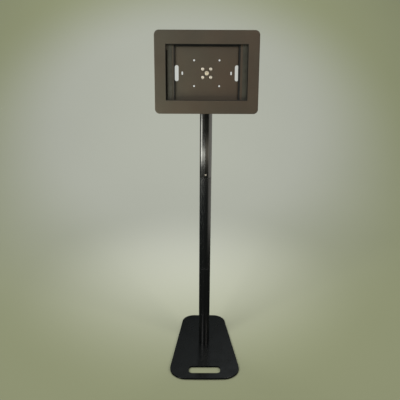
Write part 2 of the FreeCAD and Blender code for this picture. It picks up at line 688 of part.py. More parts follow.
def make_tilt_yoke():
    body = new_body("tilt_yoke", PANEL)
    plate_sketch = new_sketch(body, "XY_Plane", "yoke_back")
    circle(plate_sketch, "0", "0", "2 * yoke_radius")
    pad(body, plate_sketch, "yoke_plate")
    for side in (-1, 1):
        start = "ear_inner" if side > 0 else "-ear_outer"
        web_sketch = new_sketch(body, "YZ_Plane", start)
        outline(web_sketch, [
            ("-ear_radius", "0"),
            ("ear_radius", "0"),
            ("ear_root / 2", "yoke_back"),
            ("-ear_root / 2", "yoke_back"),
        ])
        pad(body, web_sketch, "ear_thickness")
        end_sketch = new_sketch(body, "YZ_Plane", start)
        circle(end_sketch, "0", "0", "2 * ear_radius")
        ears = pad(body, end_sketch, "ear_thickness")

    def ear_root(edge):
        along = abs(edge.BoundBox.Center.x)
        return (lies_at(edge, "yoke_back") and isinstance(edge.Curve, Part.Line)
                and near(along, "ear_outer"))

    fillet(body, ears, "ear_fillet", ear_root)
    bore_sketch = new_sketch(body, "YZ_Plane", "ear_outer")
    circle(bore_sketch, "0", "0", "tilt_bolt_thread + 2 * fit_gap")
    pocket(body, bore_sketch)
    axle_sketch = new_sketch(body, "XY_Plane", "yoke_front")
    circle(axle_sketch, "0", "0", "axle_thread + 2 * fit_gap")
    circle(axle_sketch, "0", "stop_pin_circle", "stop_pin")
    pocket(body, axle_sketch, "yoke_plate")


def washer(label, place, starts, bore, outer, thickness):
    """One or more flat rings on the Z axis."""
    body = new_body(label, place)
    for start in starts:
        sketch = new_sketch(body, "XY_Plane", start)
        circle(sketch, "0", "0", f"2 * {bore}")
        circle(sketch, "0", "0", f"2 * {outer}")
        pad(body, sketch, thickness)


def make_tilt_fasteners():
    bore = "(tilt_bolt_thread / 2 + fit_gap)"
    head_seat = "ear_outer + washer_thickness"
    washer("tilt_friction_discs", TILT_AXIS, ["tilt_disc_start", "-ear_inner"], bore,
           "tilt_disc_radius", "friction_thickness")
    washer("tilt_washers", TILT_AXIS, ["ear_outer", f"-({head_seat})"], bore,
           "washer_radius", "washer_thickness")

    bolt = new_body("tilt_bolt", TILT_AXIS)
    head_sketch = new_sketch(bolt, "XY_Plane", f"-({head_seat})")
    hexagon(head_sketch, "0", "0", "bolt_flats")
    pad(bolt, head_sketch, "bolt_head", downward=True)
    shank_sketch = new_sketch(bolt, "XY_Plane", f"-({head_seat})")
    circle(shank_sketch, "0", "0", "tilt_bolt_thread")
    shank = pad(bolt, shank_sketch, f"2 * ({head_seat}) + nut_height + bolt_spare")
    chamfer(bolt, shank, "plug_chamfer",
            lambda edge: lies_at(edge, f"{head_seat} + nut_height + bolt_spare"))

    nut = new_body("tilt_nut", TILT_AXIS)
    nut_sketch = new_sketch(nut, "XY_Plane", head_seat)
    hexagon(nut_sketch, "0", "0", "bolt_flats")
    circle(nut_sketch, "0", "0", "tilt_bolt_thread")
    pad(nut, nut_sketch, "nut_height")


def make_axle():
    bore = "(axle_thread / 2 + fit_gap)"
    washer("swivel_friction_disc", PANEL, ["yoke_front"], bore, "swivel_disc_radius",
           "friction_thickness")
    washer("spring_washer", PANEL, ["axle_nut_front"], bore, "washer_radius", "spring_washer")

    nut = new_body("axle_nut", PANEL)
    nut_sketch = new_sketch(nut, "XY_Plane", "axle_nut_front")
    hexagon(nut_sketch, "0", "0", "bolt_flats")
    circle(nut_sketch, "0", "0", "axle_thread")
    pad(nut, nut_sketch, "nut_height", downward=True)

    head_seat = "(tray_back + face_gap)"
    tail = "(axle_nut_front - nut_height - bolt_spare / 2)"
    bolt = turned("axle_bolt", PANEL, [
        ("0", tail),
        ("axle_thread / 2", tail),
        ("axle_thread / 2", head_seat),
        ("axle_head / 2", head_seat),
        ("axle_head / 2", f"{head_seat} + axle_head_height - axle_head_bevel"),
        ("axle_head / 2 - axle_head_bevel", f"{head_seat} + axle_head_height"),
        ("0", f"{head_seat} + axle_head_height"),
    ])
    socket_sketch = new_sketch(bolt, "XY_Plane", f"{head_seat} + axle_head_height")
    hexagon(socket_sketch, "0", "0", "axle_socket")
    pocket(bolt, socket_sketch, "axle_socket_deep")

    pin = new_body("stop_pin", PANEL)
    pin_sketch = new_sketch(pin, "XY_Plane", "yoke_back")
    circle(pin_sketch, "0", "stop_pin_circle", "stop_pin")
    pad(pin, pin_sketch, "tray_back - yoke_back - face_gap")


# Turning group

def make_swivel_disc():
    body = new_body("swivel_disc", PANEL)
    sketch = new_sketch(body, "XY_Plane", "swivel_back")
    circle(sketch, "0", "0", "2 * yoke_radius")
    circle(sketch, "0", "0", "axle_thread + 2 * fit_gap")
    for side in (-1, 1):
        for rise in (-1, 1):
            circle(sketch, f"{side} * tray_screw_square / 2", f"{rise} * tray_screw_square / 2",
                   "tray_screw_thread")
    pad(body, sketch, "swivel_thickness")

    # The stop pin stands straight up from the axle at rest, so the slot runs from just past it,
    # clockwise by the turn's range, to let the disc turn the other way round it.
    slot_sketch = new_sketch(body, "XY_Plane", "tray_back")
    half_width = "(stop_pin / 2 + stop_slot_gap)"
    spare = "(stop_clear / stop_pin_circle * 180 / pi)"
    late = f"(90 + {spare})"
    early = f"(90 - turn_range - {spare})"
    add_arc_slot(slot_sketch, "stop_pin_circle", half_width, early, late)
    pocket(body, slot_sketch, "swivel_thickness")


def add_arc_slot(sketch, radius, half_width, start_angle, end_angle):
    """A slot with round ends along an arc about the sketch's origin."""
    start = math.radians(size(start_angle))
    end = math.radians(size(end_angle))
    middle = size(radius)
    half = size(half_width)
    centre = Vector(0, 0, 0)
    outer = arc(sketch, centre, middle + half, start, end)
    inner = arc(sketch, centre, middle - half, start, end)
    start_centre = sketch.Geometry[inner].StartPoint * (middle / (middle - half))
    end_centre = sketch.Geometry[inner].EndPoint * (middle / (middle - half))
    start_cap = arc(sketch, start_centre, half, start + math.pi, start + 2 * math.pi)
    end_cap = arc(sketch, end_centre, half, end, end + math.pi)
    hold(sketch, outer, 3, "0", "0")
    hold(sketch, inner, 3, "0", "0")
    hold(sketch, start_cap, 3, f"{radius} * cos({start_angle} * 1 deg)",
         f"{radius} * sin({start_angle} * 1 deg)")
    constrain(sketch, f"{radius} * cos({end_angle} * 1 deg)", "DistanceX", -1, 1, end_cap, 3)
    constrain(sketch, f"{radius} + {half_width}", "Radius", outer)
    join_smoothly(sketch, (outer, 1, start_cap, 2), (inner, 1, start_cap, 1),
                  (outer, 2, end_cap, 1))
    sketch.addConstraint(Sketcher.Constraint("Coincident", inner, 2, end_cap, 2))


def make_tray_screws():
    body = new_body("tray_screws", PANEL)
    places = [(f"{side} * tray_screw_square / 2", f"{rise} * tray_screw_square / 2")
              for side in (-1, 1) for rise in (-1, 1)]
    shank_sketch = new_sketch(body, "XY_Plane", "swivel_back")
    for across, up in places:
        circle(shank_sketch, across, up, "tray_screw_thread")
    pad(body, shank_sketch, "swivel_thickness + sheet")
    head_sketch = new_sketch(body, "XY_Plane", "tray_front")
    for across, up in places:
        circle(head_sketch, across, up, "tray_screw_head")
    heads = pad(body, head_sketch, "tray_screw_rise")
    fillet(body, heads, "tray_screw_rise * button_share",
           lambda edge: lies_at(edge, "tray_front + tray_screw_rise"))
    socket_sketch = new_sketch(body, "XY_Plane", "tray_front + tray_screw_rise")
    for across, up in places:
        hexagon(socket_sketch, across, up, "tray_screw_socket")
    pocket(body, socket_sketch, "tray_screw_rise * button_share")


RAIL_RIVETS = [(f"{side} * rail_rivet_line", f"{rise} * rail_rivet_spread / 2")
               for side in (-1, 1) for rise in (-1, 1)]
LEDGE_RIVETS = [(f"{side} * ledge_rivet_spread / 2",
                 f"{rise} * (stop_end + (rail_sheet + ledge_foot) / 2)")
                for side in (-1, 1) for rise in (-1, 1)]
HINGE_RIVETS = [("-hinge_rivet_line", f"{rise} * hinge_rivet_spread / 2") for rise in (-1, 0, 1)]


def make_rear_tray():
    body = new_body("rear_tray", ENCLOSURE)
    sketch = new_sketch(body, "XY_Plane", "tray_back")
    rounded_rectangle(sketch, "tray_side", "tray_end", "bezel_corner - sheet - tray_end_gap")
    shell = pad(body, sketch, "tray_flange + sheet")
    fillet(body, shell, "tray_bend", lambda edge: lies_at(edge, "tray_back"))
    inside_sketch = new_sketch(body, "XY_Plane", "stop_top")
    rounded_rectangle(inside_sketch, "(tray_side - sheet)", "(tray_end - sheet)",
                      "bezel_corner - 2 * sheet - tray_end_gap")
    pocket(body, inside_sketch, "tray_flange")

    hole_sketch = new_sketch(body, "XY_Plane", "tray_front")
    circle(hole_sketch, "0", "-enclosure_rise", "axle_opening")
    circle(hole_sketch, "lock_across", "0", "lock_outer + 2 * fit_gap")
    for side in (-1, 1):
        for rise in (-1, 1):
            circle(hole_sketch, f"{side} * mount_square / 2",
                   f"{rise} * mount_square / 2 - enclosure_rise", "mount_hole")
            circle(hole_sketch, f"{side} * tray_screw_square / 2",
                   f"{rise} * tray_screw_square / 2 - enclosure_rise",
                   "tray_screw_thread + 2 * fit_gap")
    for across, up in RAIL_RIVETS + LEDGE_RIVETS + HINGE_RIVETS:
        circle(hole_sketch, across, up, "rivet_shank")
    for side in (-1, 1):
        upright_slot(hole_sketch, f"{side} * tie_slot_spread / 2", "-enclosure_rise",
                     "tie_slot_width", "tie_slot_height")
        upright_slot(hole_sketch, f"{side} * cable_slot_spread / 2", "-enclosure_rise",
                     "cable_slot_width", "cable_slot_height")
    pocket(body, hole_sketch, "sheet")

    # The right flange is notched, so that the bezel's catch can reach the lock's cam.
    notch_sketch = new_sketch(body, "XY_Plane", "stop_top")
    rectangle(notch_sketch, "tray_side - 2 * sheet", "tray_side + sheet",
              "-(catch_length / 2 + catch_notch_gap)", "catch_length / 2 + catch_notch_gap")
    pocket(body, notch_sketch, "tray_flange - 2 * sheet")


def rail_section(side, inner):
    """A rail's channel and outer foot, as corners across and out of the panel."""
    shelf_end = f"({inner} + rail_shelf)"
    corners = [
        (inner, "tray_front"),
        (inner, "rail_top"),
        (shelf_end, "rail_top"),
        (shelf_end, "tray_front + rail_sheet"),
        ("rail_foot", "tray_front + rail_sheet"),
        ("rail_foot", "tray_front"),
        (f"{shelf_end} - rail_sheet", "tray_front"),
        (f"{shelf_end} - rail_sheet", "rail_top - rail_sheet"),
        (f"{inner} + rail_sheet", "rail_top - rail_sheet"),
        (f"{inner} + rail_sheet", "tray_front"),
    ]
    return [(f"{side} * ({across})", out) for across, out in corners]


def make_rail(label, side, inner):
    body = new_body(label, ENCLOSURE)
    sketch = new_sketch(body, "XZ_Plane")
    outline(sketch, rail_section(side, inner))
    channel = pad(body, sketch, "rail_length", both_ways=True)

    def shelf_bend(edge):
        box = edge.BoundBox
        return near(box.YLength, "rail_length") and near(box.ZMin, "rail_top")

    channel = fillet(body, channel, "rail_bend", shelf_bend)
    stop_sketch = new_sketch(body, "XY_Plane", "tray_front")
    for rise in (-1, 1):
        low = f"({rise} * stop_spread / 2 - stop_length / 2)"
        rectangle(stop_sketch, f"{side} * stop_side", f"{side} * (stop_side + rail_sheet)",
                  low, f"{low} + stop_length")
    pad(body, stop_sketch, "stop_top - tray_front")
    rivet_sketch = new_sketch(body, "XY_Plane", "rail_top")
    for across, up in RAIL_RIVETS:
        if size(across) * side > 0:
            circle(rivet_sketch, across, up, "rivet_shank")
    pocket(body, rivet_sketch)
    return body


def make_rails():
    left = make_rail("left_rail", -1, "left_rail_inner")
    tab_sketch = new_sketch(left, "XY_Plane", "rail_top - rail_sheet")
    shelf_end = "(left_rail_inner + rail_shelf)"
    rectangle(tab_sketch, f"-({shelf_end} + tab_reach)", f"-({shelf_end} - rail_bend)",
              "rail_length / 2 - tab_drop - tab_height", "rail_length / 2 - tab_drop")
    pad(left, tab_sketch, "rail_sheet")

    # The right rail's foot stops short of the lock's nut.
    right = make_rail("right_rail", 1, "right_rail_inner")
    notch_sketch = new_sketch(right, "XY_Plane", "rail_top")
    rectangle(notch_sketch, "lock_across - nut_notch", "rail_foot + sheet",
              "-nut_notch", "nut_notch")
    pocket(right, notch_sketch)


def make_rail_pads():
    for label, side, inner in (("left_rail_pad", -1, "left_rail_inner"),
                               ("right_rail_pad", 1, "right_rail_inner")):
        body = new_body(label, ENCLOSURE)
        sketch = new_sketch(body, "XY_Plane", "rail_top")
        near_edge = f"{side} * ({inner} + pad_inner_margin)"
        far_edge = f"{side} * ({inner} + rail_shelf - pad_margin)"
        rectangle(sketch, near_edge, far_edge, "pad_margin - rail_length / 2",
                  "rail_length / 2 - pad_margin")
        pad(body, sketch, "pad_thickness")


def make_ledges():
    for label, rise in (("bottom_ledge", -1), ("top_ledge", 1)):
        body = new_body(label, ENCLOSURE)
        sketch = new_sketch(body, "YZ_Plane")
        corners = [
            ("stop_end", "tray_front"),
            ("stop_end", "stop_top"),
            ("stop_end + rail_sheet", "stop_top"),
            ("stop_end + rail_sheet", "tray_front + rail_sheet"),
            ("stop_end + rail_sheet + ledge_foot", "tray_front + rail_sheet"),
            ("stop_end + rail_sheet + ledge_foot", "tray_front"),
        ]
        outline(sketch, [(f"{rise} * ({up})", out) for up, out in corners])
        pad(body, sketch, "ledge_length", both_ways=True)
        rivet_sketch = new_sketch(body, "XY_Plane", "tray_front + rail_sheet")
        for across, up in LEDGE_RIVETS:
            if size(up) * rise > 0:
                circle(rivet_sketch, across, up, "rivet_shank")
        pocket(body, rivet_sketch)


def rivets(label, places, low, high):
    """Domed rivets through two sheets, each with a head at both ends."""
    body = new_body(label, ENCLOSURE)
    shank_sketch = new_sketch(body, "XY_Plane", low)
    head_sketch = new_sketch(body, "XY_Plane", high)
    tail_sketch = new_sketch(body, "XY_Plane", low)
    for across, up in places:
        circle(shank_sketch, across, up, "rivet_shank")
        circle(head_sketch, across, up, "rivet_head")
        circle(tail_sketch, across, up, "rivet_tail")
    pad(body, shank_sketch, f"{high} - ({low})")
    pad(body, head_sketch, "rivet_rise")
    heads = pad(body, tail_sketch, "rivet_tail_rise", downward=True)
    fillet(body, heads, "rivet_round", lambda edge: lies_at(edge, f"{high} + rivet_rise"))


def make_rivets():
    rivets("rail_rivets", RAIL_RIVETS + LEDGE_RIVETS, "tray_back", "tray_front + rail_sheet")
    rivets("hinge_rivets", HINGE_RIVETS, "tray_back - hinge_leaf", "tray_front")


def knuckle_ends(number):
    """A knuckle's lower and upper end along the hinge, counted from below."""
    step = "hinge_length / hinge_knuckles"
    low = f"({step} * {number} - hinge_length / 2 + hinge_knuckle_gap / 2)"
    high = f"({step} * {number + 1} - hinge_length / 2 - hinge_knuckle_gap / 2)"
    return low, high


def add_knuckles(body, numbers):
    for number in numbers:
        low, high = knuckle_ends(number)
        sketch = new_sketch(body, "XZ_Plane", f"-({low})")
        circle(sketch, "-hinge_across", "hinge_level", "2 * hinge_radius")
        pad(body, sketch, f"{high} - {low}", downward=True)


def add_hinge_bore(body):
    sketch = new_sketch(body, "XZ_Plane", "hinge_length")
    circle(sketch, "-hinge_across", "hinge_level", "hinge_pin + 2 * fit_gap")
    pocket(body, sketch)


def make_hinge():
    count = int(size("hinge_knuckles"))
    tray_leaf = new_body("hinge_tray_leaf", ENCLOSURE)
    for number in range(0, count, 2):
        low, high = knuckle_ends(number)
        sketch = new_sketch(tray_leaf, "XY_Plane", "tray_back - hinge_leaf")
        rectangle(sketch, "-hinge_across", "hinge_radius - hinge_across + hinge_leaf", low, high)
        pad(tray_leaf, sketch, "hinge_leaf")
    leaf_sketch = new_sketch(tray_leaf, "XY_Plane", "tray_back - hinge_leaf")
    rectangle(leaf_sketch, "hinge_radius - hinge_across + hinge_knuckle_gap",
              "tray_leaf_width - hinge_across", "-hinge_length / 2", "hinge_length / 2")
    pad(tray_leaf, leaf_sketch, "hinge_leaf")
    add_knuckles(tray_leaf, range(0, count, 2))
    rivet_sketch = new_sketch(tray_leaf, "XY_Plane", "tray_back")
    for across, up in HINGE_RIVETS:
        circle(rivet_sketch, across, up, "rivet_shank")
    pocket(tray_leaf, rivet_sketch)
    add_hinge_bore(tray_leaf)

    bezel_leaf = new_body("hinge_bezel_leaf", ENCLOSURE)
    for number in range(1, count, 2):
        low, high = knuckle_ends(number)
        sketch = new_sketch(bezel_leaf, "XY_Plane", "hinge_level")
        rectangle(sketch, "-bezel_side", "hinge_leaf - bezel_side", low, high)
        pad(bezel_leaf, sketch, "tray_back - hinge_level + hinge_leaf")
    flat_sketch = new_sketch(bezel_leaf, "XY_Plane", "tray_back + hinge_knuckle_gap")
    rectangle(flat_sketch, "-bezel_side", "hinge_leaf - bezel_side",
              "-hinge_length / 2", "hinge_length / 2")
    pad(bezel_leaf, flat_sketch, "bezel_leaf_width - hinge_knuckle_gap")
    add_knuckles(bezel_leaf, range(1, count, 2))
    add_hinge_bore(bezel_leaf)

    pin = new_body("hinge_pin", ENCLOSURE)
    pin_sketch = new_sketch(pin, "XZ_Plane")
    circle(pin_sketch, "-hinge_across", "hinge_level", "hinge_pin")
    pad(pin, pin_sketch, "hinge_length + 2 * hinge_knuckle_gap", both_ways=True)


def make_lock():
    barrel = new_body("lock_body", ENCLOSURE)
    flange_sketch = new_sketch(barrel, "XY_Plane", "lock_back")
    circle(flange_sketch, "lock_across", "0", "lock_flange")
    flange = pad(barrel, flange_sketch, "lock_flange_height")
    chamfer(barrel, flange, "lock_flange_bevel", lambda edge: lies_at(edge, "lock_back"))
    barrel_sketch = new_sketch(barrel, "XY_Plane", "tray_back")
    circle(barrel_sketch, "lock_across", "0", "lock_outer")
    pad(barrel, barrel_sketch, "barrel_end - tray_back")
    bore_sketch = new_sketch(barrel, "XY_Plane", "barrel_end")
    circle(bore_sketch, "lock_across", "0", "lock_core + 2 * fit_gap")
    pocket(barrel, bore_sketch)

    nut = new_body("lock_nut", ENCLOSURE)
    nut_sketch = new_sketch(nut, "XY_Plane", "tray_front")
    hexagon(nut_sketch, "lock_across", "0", "lock_nut_flats")
    circle(nut_sketch, "lock_across", "0", "lock_outer")
    pad(nut, nut_sketch, "lock_nut_height")

    plug = new_body("lock_plug", ENCLOSURE)
    plug_sketch = new_sketch(plug, "XY_Plane", "lock_back")
    circle(plug_sketch, "lock_across", "0", "lock_core")
    pad(plug, plug_sketch, "cam_back - lock_back")
    key_sketch = new_sketch(plug, "XY_Plane", "lock_back")
    rectangle(key_sketch, "lock_across - key_slot_width / 2", "lock_across + key_slot_width / 2",
              "-key_slot_height / 2", "key_slot_height / 2")
    pocket(plug, key_sketch, "key_slot_deep", forward=True)
    thread_sketch = new_sketch(plug, "XY_Plane", "cam_back")
    circle(thread_sketch, "lock_across", "0", "cam_screw_thread")
    pocket(plug, thread_sketch, "cam_screw_length - cam_thickness")

    # At rest the cam is unlocked and points down the panel.
    cam = new_body("lock_cam", ENCLOSURE)
    arm_sketch = new_sketch(cam, "XY_Plane", "cam_back")
    rectangle(arm_sketch, "lock_across - cam_width / 2", "lock_across + cam_width / 2",
              "-cam_reach", "0")
    arm = pad(cam, arm_sketch, "cam_thickness")
    fillet(cam, arm, "cam_corner",
           lambda edge: stands(edge) and near(edge.BoundBox.YMin, "-cam_reach"))
    hub_sketch = new_sketch(cam, "XY_Plane", "cam_back")
    circle(hub_sketch, "lock_across", "0", "cam_width")
    pad(cam, hub_sketch, "cam_thickness")
    hole_sketch = new_sketch(cam, "XY_Plane", "cam_front")
    circle(hole_sketch, "lock_across", "0", "cam_screw_thread")
    pocket(cam, hole_sketch)

    screw = new_body("cam_screw", ENCLOSURE)
    shank_sketch = new_sketch(screw, "XY_Plane", "cam_front")
    circle(shank_sketch, "lock_across", "0", "cam_screw_thread")
    pad(screw, shank_sketch, "cam_screw_length", downward=True)
    head_sketch = new_sketch(screw, "XY_Plane", "cam_front")
    circle(head_sketch, "lock_across", "0", "cam_screw_head")
    head = pad(screw, head_sketch, "cam_screw_rise")
    fillet(screw, head, "cam_screw_rise * button_share",
           lambda edge: lies_at(edge, "cam_front + cam_screw_rise"))


# Opening bezel

def make_front_bezel():
    body = new_body("front_bezel", ENCLOSURE)
    sketch = new_sketch(body, "XY_Plane", "tray_back")
    rounded_rectangle(sketch, "bezel_width / 2", "bezel_height / 2", "bezel_corner")
    block = pad(body, sketch, "bezel_depth")
    fillet(body, block, "bezel_edge", lambda edge: lies_at(edge, "bezel_front"))
    inside_sketch = new_sketch(body, "XY_Plane", "tray_back")
    rounded_rectangle(inside_sketch, "bezel_side", "bezel_end", "bezel_corner - sheet")
    pocket(body, inside_sketch, "bezel_depth - sheet", forward=True)
    window_sketch = new_sketch(body, "XY_Plane", "bezel_front")
    rectangle(window_sketch, "-window_width / 2", "window_width / 2",
              "-window_height / 2", "window_height / 2")
    pocket(body, window_sketch)


def make_bezel_catch():
    body = new_body("bezel_catch", ENCLOSURE)
    lip_top = "(cam_back - cam_gap)"
    sketch = new_sketch(body, "XZ_Plane")
    outline(sketch, [
        ("bezel_side", f"{lip_top} - catch_sheet"),
        ("bezel_side", "stop_top"),
        ("bezel_side - catch_sheet", "stop_top"),
        ("bezel_side - catch_sheet", lip_top),
        ("bezel_side - catch_reach", lip_top),
        ("bezel_side - catch_reach", f"{lip_top} - catch_sheet"),
    ])
    pad(body, sketch, "catch_length", both_ways=True)


def make_window_gasket():
    body = new_body("window_gasket", ENCLOSURE)
    sketch = new_sketch(body, "XY_Plane", "bezel_inner - gasket_thickness")
    for reach in ("gasket_setback", "(gasket_setback + gasket_width)"):
        rectangle(sketch, f"-(window_width / 2 + {reach})", f"window_width / 2 + {reach}",
                  f"-(window_height / 2 + {reach})", f"window_height / 2 + {reach}")
    pad(body, sketch, "gasket_thickness")


make_base_plate()
make_rubber_feet()
make_tubes()
make_column_inside()
make_foot_bolt()
make_column_screws()
make_neck()
make_tilt_yoke()
make_tilt_fasteners()
make_axle()
make_swivel_disc()
make_tray_screws()
make_rear_tray()
make_rails()
make_rail_pads()
make_ledges()
make_rivets()
make_hinge()
make_lock()
make_front_bezel()
make_bezel_catch()
make_window_gasket()
doc.recompute()

for item in doc.Objects:
    if "Invalid" in item.State or "Error" in item.State:
        raise RuntimeError(f"{item.Label} failed: {item.State}")

bodies = [item for item in doc.Objects if item.TypeId == "PartDesign::Body"]
for body in bodies:
    if body.Shape.isNull() or not body.Shape.isValid():
        raise RuntimeError(f"{body.Label} has no valid shape")

os.makedirs("parts", exist_ok=True)
for body in bodies:
    body.Shape.exportStep(f"parts/{body.Label}.step")
    box = body.Shape.BoundBox
    print(f"{body.Label}: {len(body.Shape.Solids)} solids, {body.Shape.Volume:.0f} mm3, "
          f"x {box.XMin:.1f} {box.XMax:.1f}, y {box.YMin:.1f} {box.YMax:.1f}, "
          f"z {box.ZMin:.1f} {box.ZMax:.1f}")
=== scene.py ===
import math

import bmesh
import bpy
from mathutils import Matrix, Vector


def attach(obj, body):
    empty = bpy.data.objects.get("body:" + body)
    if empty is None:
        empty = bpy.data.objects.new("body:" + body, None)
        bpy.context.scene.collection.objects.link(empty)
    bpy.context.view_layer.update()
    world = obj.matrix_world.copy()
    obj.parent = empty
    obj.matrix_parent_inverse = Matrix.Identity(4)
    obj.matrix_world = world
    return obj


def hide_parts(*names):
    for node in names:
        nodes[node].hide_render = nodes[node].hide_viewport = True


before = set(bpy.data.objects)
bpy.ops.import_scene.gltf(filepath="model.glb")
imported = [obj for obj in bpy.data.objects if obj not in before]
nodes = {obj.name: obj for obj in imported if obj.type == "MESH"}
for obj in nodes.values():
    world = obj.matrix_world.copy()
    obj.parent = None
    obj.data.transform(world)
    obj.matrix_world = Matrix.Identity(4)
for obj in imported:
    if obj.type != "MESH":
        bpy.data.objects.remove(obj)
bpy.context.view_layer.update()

# Tablet floor stand, in the part's own frame: the front faces -Y and +Z is up. Sizes of pieces are
# in millimetres and are scaled by MM; the stage, the lamps and the noise scales are in metres.
# The panel's frame has X to the right, Y up the panel and Z out of its front, from the tilt axis;
# the enclosure's frame is the same one, from the enclosure's middle.

MM = 0.001
IMAGE_SIDE = 400
SENSOR = 36
COLUMN_Y = 21.5 * MM
TILT_HEIGHT = 985.2 * MM
LEAN = math.radians(7)
TILT_CENTRE = Matrix.Translation((0, COLUMN_Y, TILT_HEIGHT))
PANEL = TILT_CENTRE @ Matrix.Rotation(math.pi / 2 - LEAN, 4, "X")
TILT_AXIS = TILT_CENTRE @ Matrix.Rotation(math.pi / 2, 4, "Y")
ENCLOSURE = PANEL @ Matrix.Translation((0, 2.8 * MM, 0))

# Heights out of the enclosure's front, and the tab on the left rail
TRAY_FRONT = 36
RAIL_TOP = 41
BEZEL_INNER = 51
TAB_MIDDLE = (-119.5, 73.6)
TAB_HALF_SIZE = (4.7, 10.5)
TAB_ROUND = 1.2
TAB_EDGE = ((0.4, 42.6), (0.0, 43.0), (0.0, 44.4), (0.4, 44.8))

PAD_MIDDLES = (("left_rail_pad", -109.65), ("right_rail_pad", 112.85))
PAD_HALF_SIZE = (7.35, 84.2)
PAD_THICKNESS = 1.5

GASKET_INNER = (120, 80)
GASKET_WIDTH = 8
GASKET_THICKNESS = 1
GASKET_JOINT = 0.15


# Camera

CAMERA_PLACE = Vector((-31.2, -1741.6, 1301.8)) * MM
CAMERA_FOCAL_PIXELS = 577.94
CAMERA_PITCH = math.radians(22.611)
CAMERA_PAN = math.radians(0.446)
CAMERA_ROLL = math.radians(0.327)


def make_camera():
    forward = Vector((math.sin(CAMERA_PAN) * math.cos(CAMERA_PITCH),
                      math.cos(CAMERA_PAN) * math.cos(CAMERA_PITCH),
                      -math.sin(CAMERA_PITCH)))
    level = Vector((math.cos(CAMERA_PAN), -math.sin(CAMERA_PAN), 0))
    upright = level.cross(forward)
    right = level * math.cos(CAMERA_ROLL) + upright * math.sin(CAMERA_ROLL)
    up = upright * math.cos(CAMERA_ROLL) - level * math.sin(CAMERA_ROLL)
    lens = bpy.data.cameras.new("camera")
    lens.sensor_fit = "HORIZONTAL"
    lens.sensor_width = SENSOR
    lens.lens = CAMERA_FOCAL_PIXELS / IMAGE_SIDE * SENSOR
    camera = bpy.data.objects.new("camera", lens)
    bpy.context.scene.collection.objects.link(camera)
    turn = Matrix((right, up, -forward)).transposed().to_4x4()
    camera.matrix_world = Matrix.Translation(CAMERA_PLACE) @ turn
    bpy.context.scene.camera = camera


# Material helpers

def add(tree, kind, inputs=None, **settings):
    """Add a shader node, set its settings, and give its inputs values or links."""
    node = tree.nodes.new(kind)
    for key, value in settings.items():
        setattr(node, key, value)
    for key, value in (inputs or {}).items():
        if isinstance(value, bpy.types.NodeSocket):
            tree.links.new(value, node.inputs[key])
        else:
            node.inputs[key].default_value = value
    return node


def new_material(name, **inputs):
    material = bpy.data.materials.new(name)
    material.use_nodes = True
    tree = material.node_tree
    shader = tree.nodes["Principled BSDF"]
    for key, value in inputs.items():
        shader.inputs[key.replace("_", " ")].default_value = value
    return material, tree, shader


def object_place(tree):
    return add(tree, "ShaderNodeTexCoord").outputs["Object"]


def noise(tree, place, scale, detail=3.0, roughness=0.5):
    inputs = {"Vector": place, "Scale": scale, "Detail": detail, "Roughness": roughness}
    return add(tree, "ShaderNodeTexNoise", inputs).outputs["Fac"]


def spread(tree, value, low, high, source_low=0.3, source_high=0.7):
    """Map a texture's usual range to low and high."""
    inputs = {"Value": value, "From Min": source_low, "From Max": source_high,
              "To Min": low, "To Max": high}
    return add(tree, "ShaderNodeMapRange", inputs).outputs["Result"]


def maths(tree, operation, first, second):
    node = add(tree, "ShaderNodeMath", {0: first, 1: second}, operation=operation)
    return node.outputs["Value"]


def shade(tree, colour, factor):
    """A colour made lighter or darker by a factor that varies over the surface."""
    inputs = {"Vector": colour, "Scale": factor}
    return add(tree, "ShaderNodeVectorMath", inputs, operation="SCALE").outputs["Vector"]


def blend_colours(tree, factor, first, second):
    node = add(tree, "ShaderNodeMix", data_type="RGBA")
    tree.links.new(factor, node.inputs["Factor"])
    for key, colour in (("A", first), ("B", second)):
        socket = next(item for item in node.inputs if item.name == key and item.type == "RGBA")
        if isinstance(colour, bpy.types.NodeSocket):
            tree.links.new(colour, socket)
        else:
            socket.default_value = (*colour, 1)
    return next(item for item in node.outputs if item.type == "RGBA")


def edge_amount(tree, radius, gain):
    """How near a point is to an outer or inner edge, from 0 to 1, by a rounded normal."""
    rounded = add(tree, "ShaderNodeBevel", {"Radius": radius}, samples=6).outputs["Normal"]
    flat = add(tree, "ShaderNodeNewGeometry").outputs["Normal"]
    dot = add(tree, "ShaderNodeVectorMath", {0: rounded, 1: flat}, operation="DOT_PRODUCT")
    turn = maths(tree, "SUBTRACT", 1.0, dot.outputs["Value"])
    return add(tree, "ShaderNodeMath", {0: turn, 1: gain}, operation="MULTIPLY",
               use_clamp=True).outputs["Value"]


def bump(tree, height, strength, distance, radius=0.0):
    """A bumped normal, on corners that a radius rounds first."""
    inputs = {"Height": height, "Strength": strength, "Distance": distance}
    if radius:
        inputs["Normal"] = add(tree, "ShaderNodeBevel", {"Radius": radius},
                               samples=6).outputs["Normal"]
    return add(tree, "ShaderNodeBump", inputs).outputs["Normal"]


# Materials

